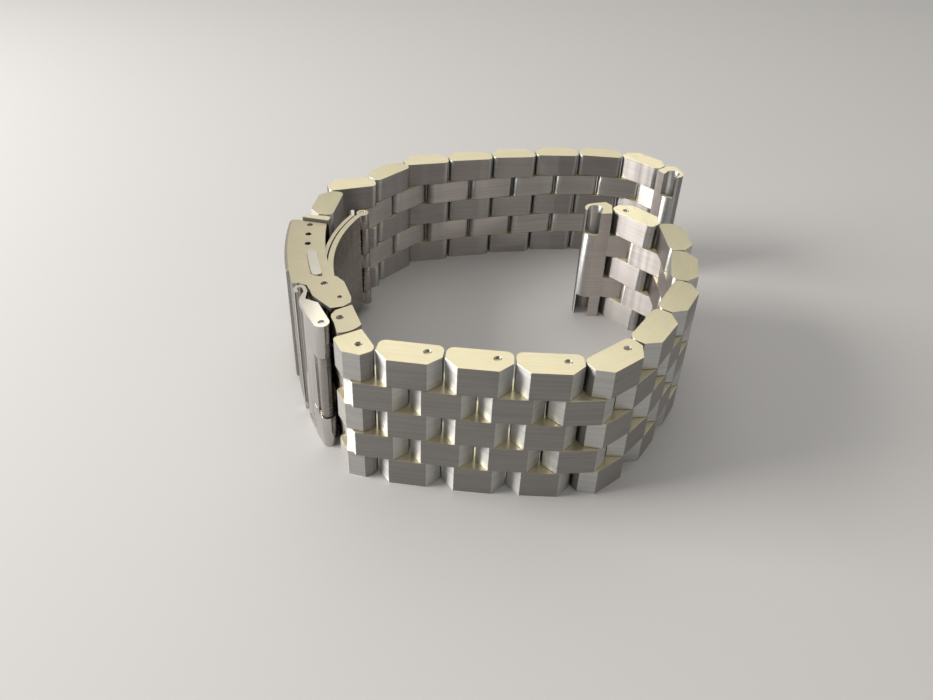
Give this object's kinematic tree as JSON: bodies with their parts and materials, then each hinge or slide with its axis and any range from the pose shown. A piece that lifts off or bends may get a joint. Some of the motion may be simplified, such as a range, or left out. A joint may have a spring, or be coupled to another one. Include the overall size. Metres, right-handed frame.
{
  "type": "engineer link watch bracelet",
  "caption": "Steel watch bracelet of chunky five-row engineer links with hinge pins, push-button folding clasp, flip lock and two end links, lying open on its edge.",
  "frame": {"origin": "bottom centre of the bounding box: the plan centre of the laid-out bracelet, on the surface its lower edge rests on", "axes": "+Z across the band's width, parallel to every hinge pin, from the lower edge up to the edge the picture looks down on; +X to the picture's right; +Y away from the camera"},
  "size_m": [0.0712, 0.0718, 0.022],
  "materials": {
    "links": "brushed faces, polished chamfers, satin edges",
    "clasp_cover": "satin",
    "flip_lock": "polished",
    "blades": "polished",
    "pins": "satin",
    "springs": "drawn wire"
  },
  "bodies": {
    "cover": {"cover": "clasp_cover", "hinge_bracket": "clasp_cover", "cover_hinge_pin": "pins", "flip_lock_pin": "pins", "adjusting_spring_bar": "pins", "button_spring_upper": "springs", "button_spring_lower": "springs"},
    "middle_blade": {"middle_blade": "blades"},
    "inner_blade": {"inner_blade": "blades", "knuckle_pin": "pins", "clasp_link_pin": "pins"},
    "flip_lock": {"flip_lock": "flip_lock"},
    "push_button_upper": {"push_button_upper": "clasp_cover"},
    "push_button_lower": {"push_button_lower": "clasp_cover"},
    "front_clasp_link": {"front_clasp_link": "links"},
    "front_half_link_1": {"front_half_link_1": "links"},
    "front_link_1": {"front_link_1": "links"},
    "front_half_link_2": {"front_half_link_2": "links"},
    "front_link_2": {"front_link_2": "links"},
    "front_half_link_3": {"front_half_link_3": "links"},
    "front_link_3": {"front_link_3": "links"},
    "front_half_link_4": {"front_half_link_4": "links"},
    "front_link_4": {"front_link_4": "links"},
    "front_half_link_5": {"front_half_link_5": "links"},
    "front_link_5": {"front_link_5": "links"},
    "front_half_link_6": {"front_half_link_6": "links"},
    "front_link_6": {"front_link_6": "links"},
    "front_half_link_7": {"front_half_link_7": "links"},
    "front_link_7": {"front_link_7": "links"},
    "front_half_link_8": {"front_half_link_8": "links"},
    "front_link_8": {"front_link_8": "links"},
    "front_half_link_9": {"front_half_link_9": "links"},
    "front_link_9": {"front_link_9": "links"},
    "front_end_link": {"front_end_link": "links"},
    "back_clasp_link": {"back_clasp_link": "links"},
    "back_link_1": {"back_link_1": "links"},
    "back_half_link_1": {"back_half_link_1": "links"},
    "back_link_2": {"back_link_2": "links"},
    "back_half_link_2": {"back_half_link_2": "links"},
    "back_link_3": {"back_link_3": "links"},
    "back_half_link_3": {"back_half_link_3": "links"},
    "back_link_4": {"back_link_4": "links"},
    "back_half_link_4": {"back_half_link_4": "links"},
    "back_link_5": {"back_link_5": "links"},
    "back_half_link_5": {"back_half_link_5": "links"},
    "back_link_6": {"back_link_6": "links"},
    "back_half_link_6": {"back_half_link_6": "links"},
    "back_link_7": {"back_link_7": "links"},
    "back_half_link_7": {"back_half_link_7": "links"},
    "back_link_8": {"back_link_8": "links"},
    "back_half_link_8": {"back_half_link_8": "links"},
    "back_link_9": {"back_link_9": "links"},
    "back_end_link": {"back_end_link": "links"}
  },
  "joints": [
    {"name": "cover_hinge", "type": "hinge", "parent": "cover", "child": "middle_blade", "pos_m": [-0.02618, -0.01791, 0.011], "axis": [0, 0, -1], "range_deg": [0, 165]},
    {"name": "blade_knuckle", "type": "hinge", "parent": "middle_blade", "child": "inner_blade", "pos_m": [-0.02421, 0.00691, 0.011], "axis": [0, 0, 1], "range_deg": [0, 165]},
    {"name": "flip_lock_hinge", "type": "hinge", "parent": "cover", "child": "flip_lock", "pos_m": [-0.02486, -0.02717, 0.011], "axis": [0, 0, 1], "range_deg": [0, 80]},
    {"name": "push_button_upper_slide", "type": "slide", "parent": "cover", "child": "push_button_upper", "axis": [0, 0, -1], "range_m": [0, 0.0008], "stiffness_N_per_m": 300, "springref_m": -0.001, "deforming": ["button_spring_upper"]},
    {"name": "push_button_lower_slide", "type": "slide", "parent": "cover", "child": "push_button_lower", "axis": [0, 0, 1], "range_m": [0, 0.0008], "stiffness_N_per_m": 300, "springref_m": -0.001, "deforming": ["button_spring_lower"]},
    {"name": "front_hinge_01", "type": "hinge", "parent": "inner_blade", "child": "front_clasp_link", "pos_m": [-0.02257, -0.02592, 0.011], "axis": [0, 0, 1], "range_deg": [-10, 24]},
    {"name": "front_hinge_02", "type": "hinge", "parent": "front_clasp_link", "child": "front_half_link_1", "pos_m": [-0.01923, -0.03149, 0.011], "axis": [0, 0, -1], "range_deg": [-3, 67]},
    {"name": "front_hinge_03", "type": "hinge", "parent": "front_half_link_1", "child": "front_link_1", "pos_m": [-0.01476, -0.03204, 0.011], "axis": [0, 0, 1], "range_deg": [-16, 34]},
    {"name": "front_hinge_04", "type": "hinge", "parent": "front_link_1", "child": "front_half_link_2", "pos_m": [-0.01028, -0.03251, 0.011], "axis": [0, 0, -1], "range_deg": [-35, 15]},
    {"name": "front_hinge_05", "type": "hinge", "parent": "front_half_link_2", "child": "front_link_2", "pos_m": [-0.00581, -0.03298, 0.011], "axis": [0, 0, 1], "range_deg": [-17, 33]},
    {"name": "front_hinge_06", "type": "hinge", "parent": "front_link_2", "child": "front_half_link_3", "pos_m": [-0.00132, -0.0333, 0.011], "axis": [0, 0, -1], "range_deg": [-32, 18]},
    {"name": "front_hinge_07", "type": "hinge", "parent": "front_half_link_3", "child": "front_link_3", "pos_m": [0.00318, -0.03338, 0.011], "axis": [0, 0, 1], "range_deg": [-16, 34]},
    {"name": "front_hinge_08", "type": "hinge", "parent": "front_link_3", "child": "front_half_link_4", "pos_m": [0.00768, -0.03338, 0.011], "axis": [0, 0, -1], "range_deg": [-29, 21]},
    {"name": "front_hinge_09", "type": "hinge", "parent": "front_half_link_4", "child": "front_link_4", "pos_m": [0.01215, -0.0329, 0.011], "axis": [0, 0, 1], "range_deg": [-47, 3]},
    {"name": "front_hinge_10", "type": "hinge", "parent": "front_link_4", "child": "front_half_link_5", "pos_m": [0.0157, -0.03013, 0.011], "axis": [0, 0, -1], "range_deg": [-26, 24]},
    {"name": "front_hinge_11", "type": "hinge", "parent": "front_half_link_5", "child": "front_link_5", "pos_m": [0.01877, -0.02684, 0.011], "axis": [0, 0, 1], "range_deg": [-23, 27]},
    {"name": "front_hinge_12", "type": "hinge", "parent": "front_link_5", "child": "front_half_link_6", "pos_m": [0.02135, -0.02316, 0.011], "axis": [0, 0, -1], "range_deg": [-33, 17]},
    {"name": "front_hinge_13", "type": "hinge", "parent": "front_half_link_6", "child": "front_link_6", "pos_m": [0.0238, -0.01938, 0.011], "axis": [0, 0, 1], "range_deg": [-17, 33]},
    {"name": "front_hinge_14", "type": "hinge", "parent": "front_link_6", "child": "front_half_link_7", "pos_m": [0.02612, -0.01553, 0.011], "axis": [0, 0, -1], "range_deg": [-17, 33]},
    {"name": "front_hinge_15", "type": "hinge", "parent": "front_half_link_7", "child": "front_link_7", "pos_m": [0.02713, -0.01114, 0.011], "axis": [0, 0, 1], "range_deg": [-16, 34]},
    {"name": "front_hinge_16", "type": "hinge", "parent": "front_link_7", "child": "front_half_link_8", "pos_m": [0.02807, -0.00674, 0.011], "axis": [0, 0, -1], "range_deg": [-26, 24]},
    {"name": "front_hinge_17", "type": "hinge", "parent": "front_half_link_8", "child": "front_link_8", "pos_m": [0.0283, -0.00225, 0.011], "axis": [0, 0, 1], "range_deg": [-19, 31]},
    {"name": "front_hinge_18", "type": "hinge", "parent": "front_link_8", "child": "front_half_link_9", "pos_m": [0.02822, 0.00225, 0.011], "axis": [0, 0, -1], "range_deg": [-3, 62]},
    {"name": "front_hinge_19", "type": "hinge", "parent": "front_half_link_9", "child": "front_link_9", "pos_m": [0.02488, 0.00526, 0.011], "axis": [0, 0, 1], "range_deg": [-10, 40]},
    {"name": "front_hinge_20", "type": "hinge", "parent": "front_link_9", "child": "front_end_link", "pos_m": [0.02181, 0.00856, 0.011], "axis": [0, 0, -1], "range_deg": [-3, 54]},
    {"name": "back_hinge_01", "type": "hinge", "parent": "cover", "child": "back_clasp_link", "pos_m": [-0.03186, -0.00008, 0.011], "axis": [0, 0, 1], "range_deg": [-4, 7]},
    {"name": "back_hinge_02", "type": "hinge", "parent": "back_clasp_link", "child": "back_link_1", "pos_m": [-0.03008, 0.00481, 0.011], "axis": [0, 0, -1], "range_deg": [-2, 20]},
    {"name": "back_hinge_03", "type": "hinge", "parent": "back_link_1", "child": "back_half_link_1", "pos_m": [-0.02976, 0.00929, 0.011], "axis": [0, 0, 1], "range_deg": [-21, 17]},
    {"name": "back_hinge_04", "type": "hinge", "parent": "back_half_link_1", "child": "back_link_2", "pos_m": [-0.02929, 0.01377, 0.011], "axis": [0, 0, -1], "range_deg": [-70, 3]},
    {"name": "back_hinge_05", "type": "hinge", "parent": "back_link_2", "child": "back_half_link_2", "pos_m": [-0.02504, 0.01524, 0.011], "axis": [0, 0, 1], "range_deg": [-21, 3]},
    {"name": "back_hinge_06", "type": "hinge", "parent": "back_half_link_2", "child": "back_link_3", "pos_m": [-0.02252, 0.01897, 0.011], "axis": [0, 0, -1], "range_deg": [-21, 19]},
    {"name": "back_hinge_07", "type": "hinge", "parent": "back_link_3", "child": "back_half_link_3", "pos_m": [-0.01963, 0.02241, 0.011], "axis": [0, 0, 1], "range_deg": [-19, 18]},
    {"name": "back_hinge_08", "type": "hinge", "parent": "back_half_link_3", "child": "back_link_4", "pos_m": [-0.01656, 0.0257, 0.011], "axis": [0, 0, -1], "range_deg": [-48, 3]},
    {"name": "back_hinge_09", "type": "hinge", "parent": "back_link_4", "child": "back_half_link_4", "pos_m": [-0.01219, 0.02679, 0.011], "axis": [0, 0, 1], "range_deg": [-21, 8]},
    {"name": "back_hinge_10", "type": "hinge", "parent": "back_half_link_4", "child": "back_link_5", "pos_m": [-0.00799, 0.02841, 0.011], "axis": [0, 0, -1], "range_deg": [-24, 23]},
    {"name": "back_hinge_11", "type": "hinge", "parent": "back_link_5", "child": "back_half_link_5", "pos_m": [-0.00359, 0.02934, 0.011], "axis": [0, 0, 1], "range_deg": [-25, 9]},
    {"name": "back_hinge_12", "type": "hinge", "parent": "back_half_link_5", "child": "back_link_6", "pos_m": [0.00069, 0.03073, 0.011], "axis": [0, 0, -1], "range_deg": [-25, 25]},
    {"name": "back_hinge_13", "type": "hinge", "parent": "back_link_6", "child": "back_half_link_6", "pos_m": [0.00514, 0.03136, 0.011], "axis": [0, 0, 1], "range_deg": [-31, 6]},
    {"name": "back_hinge_14", "type": "hinge", "parent": "back_half_link_6", "child": "back_link_7", "pos_m": [0.00945, 0.03267, 0.011], "axis": [0, 0, -1], "range_deg": [-29, 21]},
    {"name": "back_hinge_15", "type": "hinge", "parent": "back_link_7", "child": "back_half_link_7", "pos_m": [0.01394, 0.03291, 0.011], "axis": [0, 0, 1], "range_deg": [-38, 12]},
    {"name": "back_hinge_16", "type": "hinge", "parent": "back_half_link_7", "child": "back_link_8", "pos_m": [0.01842, 0.03338, 0.011], "axis": [0, 0, -1], "range_deg": [-25, 25]},
    {"name": "back_hinge_17", "type": "hinge", "parent": "back_link_8", "child": "back_half_link_8", "pos_m": [0.02291, 0.03307, 0.011], "axis": [0, 0, 1], "range_deg": [-27, 23]},
    {"name": "back_hinge_18", "type": "hinge", "parent": "back_half_link_8", "child": "back_link_9", "pos_m": [0.02731, 0.03213, 0.011], "axis": [0, 0, -1], "range_deg": [-45, 5]},
    {"name": "back_hinge_19", "type": "hinge", "parent": "back_link_9", "child": "back_end_link", "pos_m": [0.03065, 0.02912, 0.011], "axis": [0, 0, 1], "range_deg": [-27, 23]}
  ],
  "couplings": [
    {"joint": "blade_knuckle", "follows": "cover_hinge", "ratio": 1}
  ]
}
